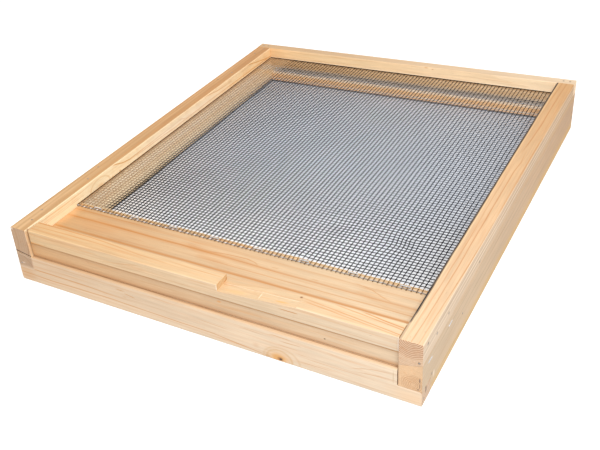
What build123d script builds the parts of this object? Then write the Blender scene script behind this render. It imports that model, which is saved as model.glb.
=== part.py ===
from build123d import *
import os
from math import cos, floor, radians

# Screened bottom board of a ten-frame bee hive: a floor frame with a wire screen, a landing board,
# an entrance strip and a slide-in tray. Millimetres, +Z up, entrance at -Y.
# The origin is the middle of the footprint, on the ground.

# Frame footprint and stock
board_width = 413.0
board_length = 505.0
rail_thickness = 19.0
back_thickness = 13.0
front_rail_height = 30.3
well_wall_height = 31.1
edge_ease = 0.7

# The joint between lower and upper side rails is sawn at a slope and is higher at the outer face.
# On the left its inner edge is level with the front rail's top, on the right it is higher.
left_joint_rise = 3.5
right_joint_lift = 5.2
right_joint_rise = 4.9

# End laps: the front rail runs under the lower side rails, the top back rail over the upper ones
front_lap_height = 14.5
right_tongue_round = 2.0
right_shoulder_gap = 0.8
back_lap_height = 14.9

# Landing board
landing_thickness = 15.7
landing_depth = 79.2
landing_setback = 3.5
landing_side_gap = 0.2

# Back openings, from the ground up: tray grooves, low bar, open slot, top back rail
groove_floor = 8.2
groove_height = 6.1
groove_depth = 6.0
low_bar_below_front_rail = 3.3
slot_height = 7.8

# Tray that slides in under the screen
tray_thickness = 4.0
tray_end_gap = 1.0
sliding_clearance = 0.3
tray_corner = 4.0

# Wire screen, held in saw kerfs of the upper rails and stapled to the landing board
wire_diameter = 0.64
wire_pitch = 4.233
wire_layer_gap = 0.05
wire_sides = 6
kerf_height = 2.2
kerf_depth = 5.0
screen_tuck = 4.4
screen_overlap = 7.9
first_cross_wire = 1.6

# Entrance strip with one bee gate, sawn at its left end and split off along the grain from there,
# so its floor climbs almost to the strip's top. The front of the floor is a little lower than the
# back, and more so in the gate's left half, where a chip has come off.
reducer_depth = 17.0
reducer_setback = 2.0
reducer_left_gap = 2.4
reducer_right_gap = 0.5
reducer_top_gap = 0.4
gate_width = 74.0
gate_from_right_end = 85.5
gate_depth = 6.2
gate_end_depth = 0.4
gate_front_part = 11.0
gate_chip_length = 37.5
gate_chip_depth = 0.5
gate_ledge_height = 0.3

# Brads
brad_shank = 1.6
brad_shank_sides = 6
brad_head = 2.6
brad_head_thickness = 0.8
brad_head_sides = 8
head_proud = 0.15
head_sunk = 0.3
rail_brad_length = 44.0
right_rail_brad_length = 52.0
corner_brad_length = 27.0
landing_brad_length = 38.0
top_back_brad_tip_gap = 1.0
low_bar_brad_length = 30.0
# Distance from the rail's end and from its outer face, for each brad in the left rail's top
left_brad_places = ((18.5, 12.0), (37.0, 8.5), (104.5, 12.5), (129.5, 6.5))
right_brad_from_end = (95.0, 190.0)
corner_brad_spread = 7.0
landing_brad_from_end = (28.0, 120.0)
landing_brad_from_front = 8.0
top_back_brad_spread = 7.0
low_bar_brad_spread = 6.0

# Staples
staple_wire = 1.2
landing_staple_crown = 8.5
landing_staple_leg = 32.0
landing_staple_from_front = (16.5, 63.5)
landing_staple_above_front_rail = 4.3
screen_staple_wire = 0.7
screen_staple_leg = 9.0
screen_staple_span = 2
screen_staple_spacing = 46.5
screen_staple_from_side = 13.0

# Places worked out from the sizes above
half_width = board_width / 2
inner_half = half_width - rail_thickness
front_y = -board_length / 2
back_y = board_length / 2
inner_front_y = front_y + rail_thickness
inner_back_y = back_y - back_thickness
board_height = front_rail_height + well_wall_height
screen_level = front_rail_height + landing_thickness
right_joint_inner = front_rail_height + right_joint_lift
# Heights of the sloping joints at the outer or inner face, from low x to high x
joint_heights = {
    -1: (front_rail_height + left_joint_rise, front_rail_height),
    1: (right_joint_inner, right_joint_inner + right_joint_rise),
}
landing_front_y = front_y + landing_setback
landing_back_y = landing_front_y + landing_depth
screen_front_y = landing_back_y - screen_overlap
screen_back_y = inner_back_y + screen_tuck
groove_top = groove_floor + groove_height
low_bar_top = front_rail_height - low_bar_below_front_rail
slot_top = low_bar_top + slot_height
back_lap_z = board_height - back_lap_height
cross_level = screen_level + wire_diameter + wire_layer_gap
warp_steps = floor(2 * (inner_half - wire_diameter) / wire_pitch)
warp_xs = [(step - warp_steps / 2) * wire_pitch for step in range(warp_steps + 1)]
weft_steps = floor((inner_back_y - wire_diameter - screen_front_y - first_cross_wire) / wire_pitch)
weft_ys = [screen_front_y + first_cross_wire + step * wire_pitch for step in range(weft_steps + 1)]


def block(x_span, y_span, z_span):
    size = [high - low for low, high in (x_span, y_span, z_span)]
    middle = [(high + low) / 2 for low, high in (x_span, y_span, z_span)]
    return Pos(*middle) * Box(*size)


# A planed board: its four long edges are eased before any joint is cut
def planed(x_span, y_span, z_span, grain):
    board = block(x_span, y_span, z_span)
    return chamfer(board.edges().filter_by(grain), edge_ease)


def side_span(side, inner, outer):
    return (inner, outer) if side > 0 else (-outer, -inner)


# What is taken out between a slope, given by its heights at both ends of the x span, and a level
def wedge(x_span, y_span, heights, level):
    corners = [(x_span[0], heights[0]), (x_span[1], heights[1]), (x_span[1], level), (x_span[0], level)]
    outline = make_face(Plane.XZ * Polyline(*corners, close=True))
    cut = extrude(outline, (y_span[1] - y_span[0]) / 2, both=True)
    return Pos(0, (y_span[0] + y_span[1]) / 2, 0) * cut


def make_front_rail():
    rail = planed((-half_width, half_width), (front_y, inner_front_y), (0, front_rail_height), Axis.X)
    for side in (-1, 1):
        gap = right_shoulder_gap if side > 0 else 0
        shoulder = side_span(side, inner_half - gap, half_width)
        rail -= block(shoulder, (front_y, inner_front_y), (front_lap_height, front_rail_height))
    ends = rail.edges().filter_by(Axis.Y).group_by(Axis.X)[-1]
    return fillet(ends.sort_by(Axis.Z)[-1], right_tongue_round)


# Lower side rail, lapped over the front rail and grooved for the tray's edge
def make_lower_rail(side):
    thickness = side_span(side, inner_half, half_width)
    top = max(joint_heights[side]) + 2 * edge_ease
    rail = planed(thickness, (front_y, back_y), (0, top), Axis.Y)
    rail -= wedge(thickness, (front_y, back_y), joint_heights[side], top + edge_ease)
    rail -= block(thickness, (front_y, inner_front_y), (0, front_lap_height))
    groove = side_span(side, inner_half, inner_half + groove_depth)
    rail -= block(groove, (inner_front_y, back_y), (groove_floor, groove_top))
    return rail


# Upper side rail, let down at the back for the top back rail and kerfed for the screen
def make_upper_rail(side):
    thickness = side_span(side, inner_half, half_width)
    bottom = min(joint_heights[side]) - 2 * edge_ease
    rail = planed(thickness, (front_y, back_y), (bottom, board_height), Axis.Y)
    rail -= wedge(thickness, (front_y, back_y), joint_heights[side], bottom - edge_ease)
    rail -= block(thickness, (inner_back_y, back_y), (back_lap_z, board_height))
    kerf = side_span(side, inner_half, inner_half + kerf_depth)
    rail -= block(kerf, (screen_front_y, inner_back_y), (screen_level, screen_level + kerf_height))
    return rail


def make_upper_back_rail():
    rail = planed((-half_width, half_width), (inner_back_y, back_y), (slot_top, board_height), Axis.X)
    for side in (-1, 1):
        shoulder = side_span(side, inner_half, half_width)
        rail -= block(shoulder, (inner_back_y, back_y), (slot_top, back_lap_z))
    kerf_z = (screen_level, screen_level + kerf_height)
    rail -= block((-inner_half, inner_half), (inner_back_y, inner_back_y + kerf_depth), kerf_z)
    return rail


def make_lower_back_rail():
    return planed((-inner_half, inner_half), (inner_back_y, back_y), (groove_top, low_bar_top), Axis.X)


def make_landing_board():
    half = inner_half - landing_side_gap
    depth = (landing_front_y, landing_back_y)
    return planed((-half, half), depth, (front_rail_height, screen_level), Axis.X)


# Tray sheet: its edges run in the lower rails' grooves and it leaves under the low back bar
def make_tray():
    half = inner_half + groove_depth - tray_end_gap
    bottom = groove_floor + sliding_clearance
    sheet = block(
        (-half, half),
        (inner_front_y + tray_end_gap, back_y - tray_end_gap),
        (bottom, bottom + tray_thickness),
    )
    return chamfer(sheet.edges().filter_by(Axis.Z), tray_corner)


def wire_outline():
    return RegularPolygon(wire_diameter / 2 / cos(radians(180 / wire_sides)), wire_sides)


# Wires that run front to back, lying on the landing board and in the back kerf
def make_warp_wires():
    length = screen_back_y - screen_front_y
    wire = extrude(Plane.XZ * wire_outline(), length / 2, both=True)
    middle_y = (screen_front_y + screen_back_y) / 2
    height = screen_level + wire_diameter / 2
    return Compound(children=[Pos(x, middle_y, height) * wire for x in warp_xs])


# Cross wires, lying on the others, with their ends in the side kerfs
def make_weft_wires():
    wire = extrude(Plane.YZ * wire_outline(), inner_half + screen_tuck, both=True)
    height = cross_level + wire_diameter / 2
    return Compound(children=[Pos(0, y, height) * wire for y in weft_ys])


def make_entrance_reducer():
    left = -inner_half + reducer_left_gap
    right = inner_half - reducer_right_gap
    front = front_y + reducer_setback
    back = front + reducer_depth
    top = board_height - reducer_top_gap
    strip = planed((left, right), (front, back), (screen_level + sliding_clearance, top), Axis.X)
    gate_end = right - gate_from_right_end
    gate_start = gate_end - gate_width
    chip_end = gate_start + gate_chip_length
    floor_start = top - gate_depth
    floor_end = top - gate_end_depth
    floor_middle = floor_start + (floor_end - floor_start) * gate_chip_length / gate_width
    above = top + edge_ease
    front_part = (front, front + gate_front_part)
    strip -= wedge((gate_start, gate_end), (front, back), (floor_start, floor_end), above)
    chip_heights = (floor_start - gate_chip_depth, floor_middle - gate_chip_depth)
    strip -= wedge((gate_start, chip_end), front_part, chip_heights, above)
    ledge_heights = (floor_middle - gate_ledge_height, floor_end - gate_ledge_height)
    strip -= wedge((chip_end, gate_end), front_part, ledge_heights, above)
    return strip


# Brad along Z: the face of its head is at the origin and its point is below
def brad(length):
    head = extrude(RegularPolygon(brad_head / 2, brad_head_sides), -brad_head_thickness)
    shank = extrude(RegularPolygon(brad_shank / 2, brad_shank_sides), -length)
    return head + shank


# Staple along Z: the top of its crown is at the origin, the crown lies along X and the legs go down
def staple(crown, leg, wire):
    top = block((-crown / 2, crown / 2), (-wire / 2, wire / 2), (-wire, 0))
    for side in (-1, 1):
        middle = side * (crown - wire) / 2
        top += block((middle - wire / 2, middle + wire / 2), (-wire / 2, wire / 2), (-leg, 0))
    return top


# Driven from above and set flush, because the hive stands on these rails
def make_left_rail_brads():
    nail = brad(rail_brad_length)
    places = [
        Pos(-half_width + from_face, end * (back_y - from_end), board_height)
        for end in (-1, 1)
        for from_end, from_face in left_brad_places
    ]
    return Compound(children=[place * nail for place in places])


# Driven from underneath, through the lower rail into the upper one
def make_right_rail_brads():
    nail = Rot(180, 0, 0) * brad(right_rail_brad_length)
    middle = half_width - (rail_thickness - groove_depth) / 2
    places = [
        Pos(middle, end * (back_y - from_end), head_sunk)
        for end in (-1, 1)
        for from_end in right_brad_from_end
    ]
    return Compound(children=[place * nail for place in places])


# Driven from underneath, through the front rail's ends into the lower side rails
def make_front_corner_brads():
    nail = Rot(180, 0, 0) * brad(corner_brad_length)
    middle_x = half_width - rail_thickness / 2
    middle_y = front_y + rail_thickness / 2
    places = [
        Pos(side * middle_x, middle_y + step * corner_brad_spread / 2, head_sunk)
        for side in (-1, 1)
        for step in (-1, 1)
    ]
    return Compound(children=[place * nail for place in places])


# Driven from above, through the landing board into the front rail, under the entrance strip
def make_landing_brads():
    nail = brad(landing_brad_length)
    places = [
        Pos(side * (inner_half - from_end), landing_front_y + landing_brad_from_front, screen_level)
        for side in (-1, 1)
        for from_end in landing_brad_from_end
    ]
    return Compound(children=[place * nail for place in places])


# Driven from above and set flush, through the top back rail's ends into the upper side rails,
# as long as the wood above the higher joint takes
def make_upper_back_brads():
    nail = brad(board_height - max(joint_heights[1]) - top_back_brad_tip_gap)
    middle_x = half_width - rail_thickness / 2
    middle_y = back_y - back_thickness / 2
    places = [
        Pos(side * middle_x + step * top_back_brad_spread / 2, middle_y, board_height)
        for side in (-1, 1)
        for step in (-1, 1)
    ]
    return Compound(children=[place * nail for place in places])


# Driven from the sides, through the lower side rails into the low back bar
def make_lower_back_brads():
    nail = brad(low_bar_brad_length)
    face = half_width + head_proud
    middle_y = back_y - back_thickness / 2
    middle_z = (groove_top + low_bar_top) / 2
    places = [
        Pos(side * face, middle_y, middle_z + step * low_bar_brad_spread / 2) * Rot(0, side * 90, 0)
        for side in (-1, 1)
        for step in (-1, 1)
    ]
    return Compound(children=[place * nail for place in places])


# Driven from the sides, through the left upper rail and the right lower one into the landing's ends
def make_landing_staples():
    shape = Rot(0, 0, 90) * staple(landing_staple_crown, landing_staple_leg, staple_wire)
    height = front_rail_height + landing_staple_above_front_rail
    places = [
        Pos(side * (half_width + head_proud), front_y + from_front, height) * Rot(0, side * 90, 0)
        for side in (-1, 1)
        for from_front in landing_staple_from_front
    ]
    return Compound(children=[place * shape for place in places])


# Staples along the screen's front edge, behind its first cross wire, as many as the width takes.
# Each straddles a few wires and its legs go down between them.
def make_screen_staples():
    crown = screen_staple_span * wire_pitch + screen_staple_wire
    shape = staple(crown, screen_staple_leg, screen_staple_wire)
    row_y = weft_ys[0] + wire_pitch / 2
    height = cross_level + wire_diameter + screen_staple_wire
    wires_apart = round(screen_staple_spacing / wire_pitch)
    row_length = 2 * (inner_half - screen_staple_from_side)
    gaps = floor(row_length / (wires_apart * wire_pitch))
    spare = len(warp_xs) - screen_staple_span - gaps * wires_apart
    places = []
    for number in range(gaps + 1):
        first = spare // 2 + number * wires_apart
        straddled = warp_xs[first : first + screen_staple_span]
        places.append(Pos(sum(straddled) / len(straddled), row_y, height))
    return Compound(children=[place * shape for place in places])


nodes = {
    "front_rail": make_front_rail(),
    "left_lower_rail": make_lower_rail(-1),
    "right_lower_rail": make_lower_rail(1),
    "left_upper_rail": make_upper_rail(-1),
    "right_upper_rail": make_upper_rail(1),
    "upper_back_rail": make_upper_back_rail(),
    "lower_back_rail": make_lower_back_rail(),
    "landing_board": make_landing_board(),
    "screen_warp_wires": make_warp_wires(),
    "screen_weft_wires": make_weft_wires(),
    "slide_in_tray": make_tray(),
    "entrance_reducer": make_entrance_reducer(),
    "left_rail_brads": make_left_rail_brads(),
    "right_rail_brads": make_right_rail_brads(),
    "front_corner_brads": make_front_corner_brads(),
    "landing_brads": make_landing_brads(),
    "upper_back_brads": make_upper_back_brads(),
    "lower_back_brads": make_lower_back_brads(),
    "landing_staples": make_landing_staples(),
    "screen_staples": make_screen_staples(),
}

os.makedirs("parts", exist_ok=True)
for name, shape in nodes.items():
    export_step(shape, f"parts/{name}.step")
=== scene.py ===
import math
import random

import bmesh
import bpy
from mathutils import Matrix, Quaternion, Vector


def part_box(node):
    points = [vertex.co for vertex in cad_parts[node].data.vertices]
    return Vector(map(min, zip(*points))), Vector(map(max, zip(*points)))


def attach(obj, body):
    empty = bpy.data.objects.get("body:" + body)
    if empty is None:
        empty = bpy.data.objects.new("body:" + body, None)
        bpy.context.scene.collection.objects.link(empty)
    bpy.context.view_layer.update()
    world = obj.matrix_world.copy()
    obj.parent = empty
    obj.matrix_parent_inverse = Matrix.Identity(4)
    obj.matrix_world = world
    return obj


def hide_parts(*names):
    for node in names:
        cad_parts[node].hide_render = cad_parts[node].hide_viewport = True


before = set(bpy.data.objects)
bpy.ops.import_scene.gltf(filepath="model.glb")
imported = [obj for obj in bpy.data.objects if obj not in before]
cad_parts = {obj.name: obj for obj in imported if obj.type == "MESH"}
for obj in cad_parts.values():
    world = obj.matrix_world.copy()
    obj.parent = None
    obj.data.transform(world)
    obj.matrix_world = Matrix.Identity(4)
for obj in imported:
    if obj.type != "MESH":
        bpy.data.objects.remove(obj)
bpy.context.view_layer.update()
mm = 0.001
print("frame loaded:", len(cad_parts), "nodes")


# Shader maths: a socket that can be written into expressions
class Flow:
    def __init__(self, tree, socket=None):
        self.tree = tree
        self.socket = socket

    def node(self, kind, settings=None, inputs=None, output=0):
        made = self.tree.nodes.new("ShaderNode" + kind)
        for name, value in (settings or {}).items():
            if name == "stops":
                setStops(made.color_ramp.elements, value)
            else:
                setattr(made, name, value)
        for name, value in (inputs or {}).items():
            if isinstance(value, Flow):
                self.tree.links.new(value.socket, made.inputs[name])
            else:
                made.inputs[name].default_value = value
        return Flow(self.tree, made.outputs[output])

    def math(self, operation, first, second=0.0):
        return self.node("Math", {"operation": operation}, {0: first, 1: second})

    def __add__(self, other):
        return self.math("ADD", self, other)

    def __radd__(self, other):
        return self.math("ADD", other, self)

    def __sub__(self, other):
        return self.math("SUBTRACT", self, other)

    def __rsub__(self, other):
        return self.math("SUBTRACT", other, self)

    def __mul__(self, other):
        return self.math("MULTIPLY", self, other)

    def __rmul__(self, other):
        return self.math("MULTIPLY", other, self)

    def __truediv__(self, other):
        return self.math("DIVIDE", self, other)

    def __rtruediv__(self, other):
        return self.math("DIVIDE", other, self)

    def __pow__(self, other):
        return self.math("POWER", self, other)

    def __abs__(self):
        return self.math("ABSOLUTE", self)

    def least(self, other):
        return self.math("MINIMUM", self, other)

    def most(self, other):
        return self.math("MAXIMUM", self, other)

    def ramp(self, low, high):      # 0 at low, 1 at high, eased
        return self.node(
            "MapRange",
            {"interpolation_type": "SMOOTHSTEP"},
            {"Value": self, "From Min": low, "From Max": high, "To Min": 0.0, "To Max": 1.0},
        )

    def peak(self, middle, low, high):      # 1 at the middle, 0 at low and high
        return self.ramp(low, middle) * (1 - self.ramp(middle, high))

    def split(self):
        parts = self.tree.nodes.new("ShaderNodeSeparateXYZ")
        self.tree.links.new(self.socket, parts.inputs[0])
        return [Flow(self.tree, parts.outputs[axis]) for axis in range(3)]

    def join(self, x, y, z):
        return self.node("CombineXYZ", None, {0: x, 1: y, 2: z})

    def scaled(self, factor):       # a vector or a colour times a number
        return self.node("VectorMath", {"operation": "SCALE"}, {0: self, "Scale": factor})

    def times(self, colour):        # a colour times a colour
        return self.node("VectorMath", {"operation": "MULTIPLY"}, {0: self, 1: colour})

    def blend(self, share, first, second):
        return self.node("Mix", {"data_type": "RGBA"}, {0: share, 6: first, 7: second}, 2)

    def noise(self, place, detail=2.0, rough=0.5):
        return self.node("TexNoise", None, {"Vector": place, "Scale": 1.0, "Detail": detail, "Roughness": rough})


def setStops(elements, stops):
    for element, (place, colour) in zip(elements, (stops[0], stops[-1])):
        element.position, element.color = place, colour
    for place, colour in stops[1:-1]:
        elements.new(place).color = colour


def newMaterial(name):
    material = bpy.data.materials.new(name)
    material.use_nodes = True
    tree = material.node_tree
    return material, Flow(tree), tree.nodes["Principled BSDF"]


def feed(flow, shader, sockets):
    for name, value in sockets.items():
        if isinstance(value, Flow):
            flow.tree.links.new(value.socket, shader.inputs[name])
        else:
            shader.inputs[name].default_value = value


def bumped(flow, height, strength, distance):
    return flow.node("Bump", None, {"Strength": strength, "Distance": distance, "Height": height})


def millimetres(flow):
    return flow.node("TexCoord", output="Object").scaled(1 / mm)


def linear(code):                   # a web colour as linear light
    shares = [int(code[i:i + 2], 16) / 255 for i in (0, 2, 4)]
    return [s / 12.92 if s <= 0.04045 else ((s + 0.055) / 1.055) ** 2.4 for s in shares] + [1.0]


# Pine boards: growth rings round a pith that runs along each board, in millimetres
# Tints multiply the wood: along the run from its low end to its high end, and on single faces. Besides tone they
# paint light and shade: the light falling off across the frame, and faces made lighter or darker than the lamps make
# them
# Lines are streaks, by face and colour ("" is the board's own late wood): widths below and above,
# then places along the face, across it, and strengths there
# Spots and rings: face, colour, strength, middle, radii, inner share or half width
# Arcs are repeated rings: face, colour, strength, middle, spacing, and the radii between which they show
pine = {
    "front_rail": {
        "grain": "x", "pith": (-209, -60), "lean": (0.02, 0.01), "ring": 4.6, "wander": 6, "seed": 3.1,
        "early": "D9C3A8", "late": "B87A3C", "contrast": 0.17, "endContrast": 0.6,
        "along": ((0.885, 0.8, 0.71), (1.01, 1.03, 1.06)),
        # The top tint is painted shade on the ledge left in front of the landing board
        "faces": {"end": (0.8, 0.72, 0.66), "top": (0.8, 0.74, 0.66)},
        "lines": {
            # Painted shade: a dark line along the ledge under the landing board's front edge
            ("top", "8A5A2C"): (((0.9, 0.8), (-187, -249.4, 0.8), (187, -249.4, 0.8)),),
            ("front", ""): (
                ((0.7, 1.3), (-206, 16.6, 0.2), (-180, 16, 0.8), (-120, 15.5, 0.8), (-100, 14.5, 0.5),
                 (-60, 13.8, 0)),
                ((0.7, 1.1), (-206, 9.2, 0.8), (-165, 8, 0.8), (-90, 9.5, 0.7), (-60, 8.5, 0.7), (20, 7, 0.7),
                 (50, 4, 0.7), (66, 2.5, 0.5), (72, 2, 0)),
                ((0.6, 0.8), (-86, 23.6, 0), (-82, 23.5, 0.8), (-78, 23.4, 0.8), (-74, 23.3, 0)),
                ((0.6, 0.8), (-76, 21.3, 0), (-73, 20.8, 0.8), (-66, 19.6, 0.8), (-63, 19.3, 0)),
                ((0.5, 0.6), (-79, 17, 0), (-76, 16.9, 0.6), (-73, 16.8, 0)),
                ((0.5, 0.9), (3, 18, 0), (12, 17.8, 0.45), (30, 17, 0.45), (36, 16.8, 0)),
                ((0.5, 0.9), (46, 24, 0), (54, 23.8, 0.45), (64, 23.2, 0.45), (70, 23, 0)),
                ((0.5, 0.8), (74, 25.8, 0), (80, 26.6, 0.7), (92, 26, 0.7), (97, 25.7, 0)),
                ((0.5, 0.8), (84, 22.4, 0), (90, 22.2, 0.6), (102, 22.9, 0.6), (106, 23, 0)),
                ((0.5, 0.8), (82, 18.5, 0), (88, 18, 0.45), (98, 17.8, 0.4), (104, 17.6, 0)),
                ((0.5, 0.8), (97, 14.6, 0), (105, 14, 0.45), (113, 13.8, 0)),
                ((0.5, 0.8), (127, 25.5, 0), (133, 25, 0.45), (143, 24.5, 0)),
                ((0.5, 0.9), (98, 6.2, 0), (108, 6.5, 0.45), (125, 6.8, 0.45), (135, 7, 0)),
                ((0.5, 1), (103, 12, 0), (115, 12, 0.4), (155, 12, 0.35), (166, 12, 0)),
                ((0.5, 1), (146, 16, 0), (156, 19.5, 0.45), (166, 22.5, 0.45), (178, 24, 0.35), (185, 24.2, 0)),
                ((0.5, 1), (148, 13.8, 0), (160, 16, 0.45), (172, 17.5, 0.45), (186, 18, 0.2)),
                ((0.6, 1.2), (-206, 27, 0.3), (-170, 27.2, 0.4), (-120, 26.5, 0.3), (-96, 26, 0)),
                ((0.6, 1.2), (-190, 21.5, 0), (-150, 21, 0.3), (-120, 21, 0.2), (-98, 20.8, 0)),
            ),
            # Painted highlight along the top edge of the right tongue
            ("front", "FFEBD2"): (
                ((0.8, 0.5), (186.4, 13.9, 0), (187.4, 13.8, 0.5), (203, 13.6, 0.5), (205.5, 13, 0.1)),
            ),
        },
        "spots": (
            ("front", "D8A468", 0.6, (84, 3.5), (15, 9), 0.25),
            ("front", "B98A58", 0.6, (73, 2), (4, 1.8), 0.3),
            ("front", "CE9858", 0.8, (83, 3), (8.5, 5.5), 0.35),
            ("front", "A06C3C", 0.8, (84.8, 2.6), (3.8, 3), 0.4),
            ("front", "3C302A", 0.95, (85.2, 2.4), (1.8, 1.4), 0.45),
            ("front", "C9A07A", 0.4, (62, 9.5), (5, 3.5), 0.1),
            ("front", "E2BA90", 0.45, (200, 6), (30, 12), 0.05),
            ("front", "B88450", 0.35, (-199, 8), (16, 16), 0.1),
            ("front", "B89A74", 0.45, (183.6, 21.5), (0.6, 8), 0.5),
            ("right", "75604F", 0.85, (-243.8, 11.5), (2.6, 5.5), 0.2),
        ),
        "rings": (
            ("front", "C0945E", 0.45, (84, 1.5), (12, 10), 0.16),
            ("front", "C0945E", 0.3, (86, 1.5), (17, 13), 0.12),
        ),
    },
    "entrance_reducer": {
        "grain": "x", "pith": (-213, 12), "lean": (0.014, 0.03), "ring": 4.4, "wander": 4, "seed": 11.7,
        "early": "C8AB85", "late": "B27030", "contrast": 0.21, "endContrast": 0.6,
        "along": ((0.9, 0.8, 0.64), (1, 1.05, 1.16)),
        # Painted light: the end faces and the front face are made lighter than the lamps make them
        "faces": {"end": (1.2, 1.15, 1.05), "front": (1.13, 1.21, 1.37)},
        "lines": {
            # Painted shade: an orange shadow along the bottom of the front face at its left end
            ("front", "C98A46"): (((0.8, 1), (-184, 47.5, 1), (-172, 47.3, 0.8), (-163, 47.2, 0)),),
            ("front", ""): (
                ((0.5, 1), (-102, 49.2, 0), (-92, 50.5, 0.35), (-75, 53, 0.4), (-60, 56, 0.35), (-52, 57, 0)),
                ((0.5, 1), (-84, 48.8, 0), (-70, 50, 0.35), (-55, 51, 0.35), (-42, 51.2, 0)),
                ((0.6, 0.8), (84, 54.9, 0), (90, 54.7, 0.9), (101, 54.6, 0.9), (103, 54.6, 0)),
                ((0.6, 1.4), (-165, 52.6, 0), (-120, 52, 0.2), (-20, 50.5, 0.2), (22, 50, 0)),
                ((0.6, 1.4), (108, 50.5, 0), (130, 50, 0.25), (170, 49, 0.25), (187, 48.8, 0.2)),
                ((0.6, 1.4), (104, 57.6, 0), (125, 57, 0.2), (165, 56.4, 0.2), (187, 56, 0)),
            ),
            # Painted shade that tones down the lit top edge of the front face, broken at the gate
            ("front", "C9A478"): (
                ((0.5, 1), (-184, 60.8, 0.5), (26, 60.8, 0.6), (28, 60.8, 0), (64, 60, 0), (67, 60, 0.6),
                 (102, 60.8, 0.7), (187, 60.8, 0.7)),
            ),
            ("top", ""): (
                ((1, 1.6), (-184, -235.4, 0.8), (-150, -235.2, 0.8), (-120, -235.7, 0.6), (-100, -236.7, 0.5),
                 (-60, -240.5, 0.45), (-30, -242, 0.25), (0, -243, 0)),
                ((0.8, 1.3), (-184, -241.5, 0.5), (-150, -241, 0.6), (-110, -241.2, 0.5), (-80, -242.5, 0.35),
                 (-48, -244, 0)),
                ((0.8, 1.3), (-184, -246.2, 0.35), (-130, -245.6, 0.35), (-98, -246, 0)),
                ((0.7, 1.2), (-44, -237.6, 0), (-20, -238.5, 0.4), (10, -239.5, 0.4), (27, -240, 0.2)),
                ((0.8, 1.1), (98, -236.8, 0), (106, -237.8, 0.55), (140, -242, 0.65), (187, -248, 0.65)),
                ((0.8, 1.1), (101, -240.2, 0), (108, -241, 0.55), (160, -247, 0.55), (187, -250, 0.3)),
                ((0.8, 1.1), (126, -234.3, 0), (134, -235.3, 0.55), (160, -238.5, 0.65), (187, -242, 0.75)),
                ((0.9, 1.2), (148, -234.1, 0), (156, -235, 0.8), (172, -237.6, 0.9), (187, -239.6, 0.9)),
            ),
            # Painted highlight along the rear edge of the gate's floor
            ("top", "FFEBD0"): (
                ((0.5, 0.6), (29, -239.4, 0), (31, -239.4, 0.35), (60, -239.8, 0.4), (100, -242, 0.3),
                 (103, -242.2, 0)),
            ),
        },
        "spots": (
            # Painted highlight down the front edge of the right end
            ("front", "FFF6EA", 0.5, (186.6, 53.6), (0.7, 9), 0.5),
            ("top", "7A4C28", 0.85, (99.6, -236.4), (1.8, 1.5), 0.3),
            # Painted highlight on the small step in the gate's floor
            ("top", "FFEBD0", 0.3, (66.4, -245), (0.7, 5), 0.4),
            ("top", "E6A05C", 0.32, (44, -246.5), (15, 3.2), 0.2),
            ("top", "D8954A", 0.6, (87, -247), (9, 1.5), 0.2),
            # Painted highlight down the gate's left end
            ("front", "FFF2E0", 0.5, (27.2, 57.5), (0.8, 3.6), 0.4),
        ),
    },
    "landing_board": {
        "grain": "x", "pith": (-190, -60), "lean": (0.05, 0.06), "ring": 9, "wander": 9, "seed": 5.9,
        "early": "C1A27E", "late": "AA6C2A", "contrast": 0.16, "endContrast": 0.5,
        "along": ((0.87, 0.74, 0.56), (1.04, 1.17, 1.34)),
        # Painted light: the front face is made lighter than the lamps make it
        "faces": {"end": (0.8, 0.72, 0.66), "front": (1.14, 1.14, 1.18)},
        "lines": {
            ("top", ""): (
                ((0.8, 3.6), (-187, -194, 0.85), (-120, -194.3, 0.85), (-40, -195, 0.8), (5, -195.5, 0.7),
                 (60, -197.5, 0.6), (120, -198, 0.55), (187, -198.3, 0.5)),
                ((3.5, 7), (-187, -195, 0.3), (-60, -196, 0.25), (60, -198, 0.15), (187, -199, 0.12)),
                ((2.5, 4), (-187, -183.5, 0.22), (-60, -184, 0.2), (60, -186, 0.18), (187, -187, 0.15)),
                ((0.6, 1.6), (-60, -204.6, 0), (0, -205.2, 0.4), (80, -206, 0.5), (187, -207, 0.55)),
                ((0.6, 1.3), (-44, -195.4, 0), (-15, -193, 0.6), (0, -191, 0.75), (22, -190, 0.75),
                 (30, -192, 0.65), (36, -195.6, 0.4), (41, -197.5, 0)),
                ((0.7, 2.8), (-187, -182, 0.7), (-120, -182.2, 0.6), (-58, -182.8, 0)),
                ((0.5, 0.9), (26, -183.4, 0), (40, -184, 0.45), (120, -185.5, 0.5), (187, -185.8, 0.45)),
                ((0.6, 1.1), (121, -183.9, 0), (127, -185, 0.55), (140, -188, 0.6), (150, -193, 0.55),
                 (158, -196, 0.45), (164, -198.4, 0)),
                # Painted shadow cast by the entrance reducer on the board behind it
                ((2, 3.5), (-187, -214.4, 0.7), (0, -214.8, 0.7), (187, -215.2, 0.8)),
                ((0.5, 0.6), (46, -192.3, 0), (49, -192.1, 0.7), (52, -192, 0.7), (55, -191.9, 0)),
                ((0.5, 0.6), (85, -194.3, 0), (89, -194.1, 0.7), (92, -194, 0.7), (95, -193.9, 0)),
            ),
            # Painted light: the strip under the screen's front edge is brighter than the wires' shade leaves it
            ("top", "FFDCA8"): (((1.8, 1.5), (-187, -171, 0.9), (187, -171, 0.9)),),
            # Painted bounce light and shade: an orange line at the top of the front face, under the entrance
            # reducer's overhang
            ("front", "C98A4A"): (
                ((0.9, 0.8), (-187, 45.3, 0.6), (-60, 45.2, 0.45), (60, 45.2, 0.7), (187, 45, 0.6)),
            ),
            # Painted shade over the lower part of the front face, above the front rail
            ("front", "A8744A"): (((0.6, 6), (-187, 30.6, 0.45), (0, 30.6, 0.55), (187, 30.6, 0.35)),),
            ("front", ""): (((0.6, 1.6), (-78, 37.6, 0), (-60, 38.5, 0.22), (-20, 39, 0.22), (8, 39, 0)),),
        },
        "spots": (
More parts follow.
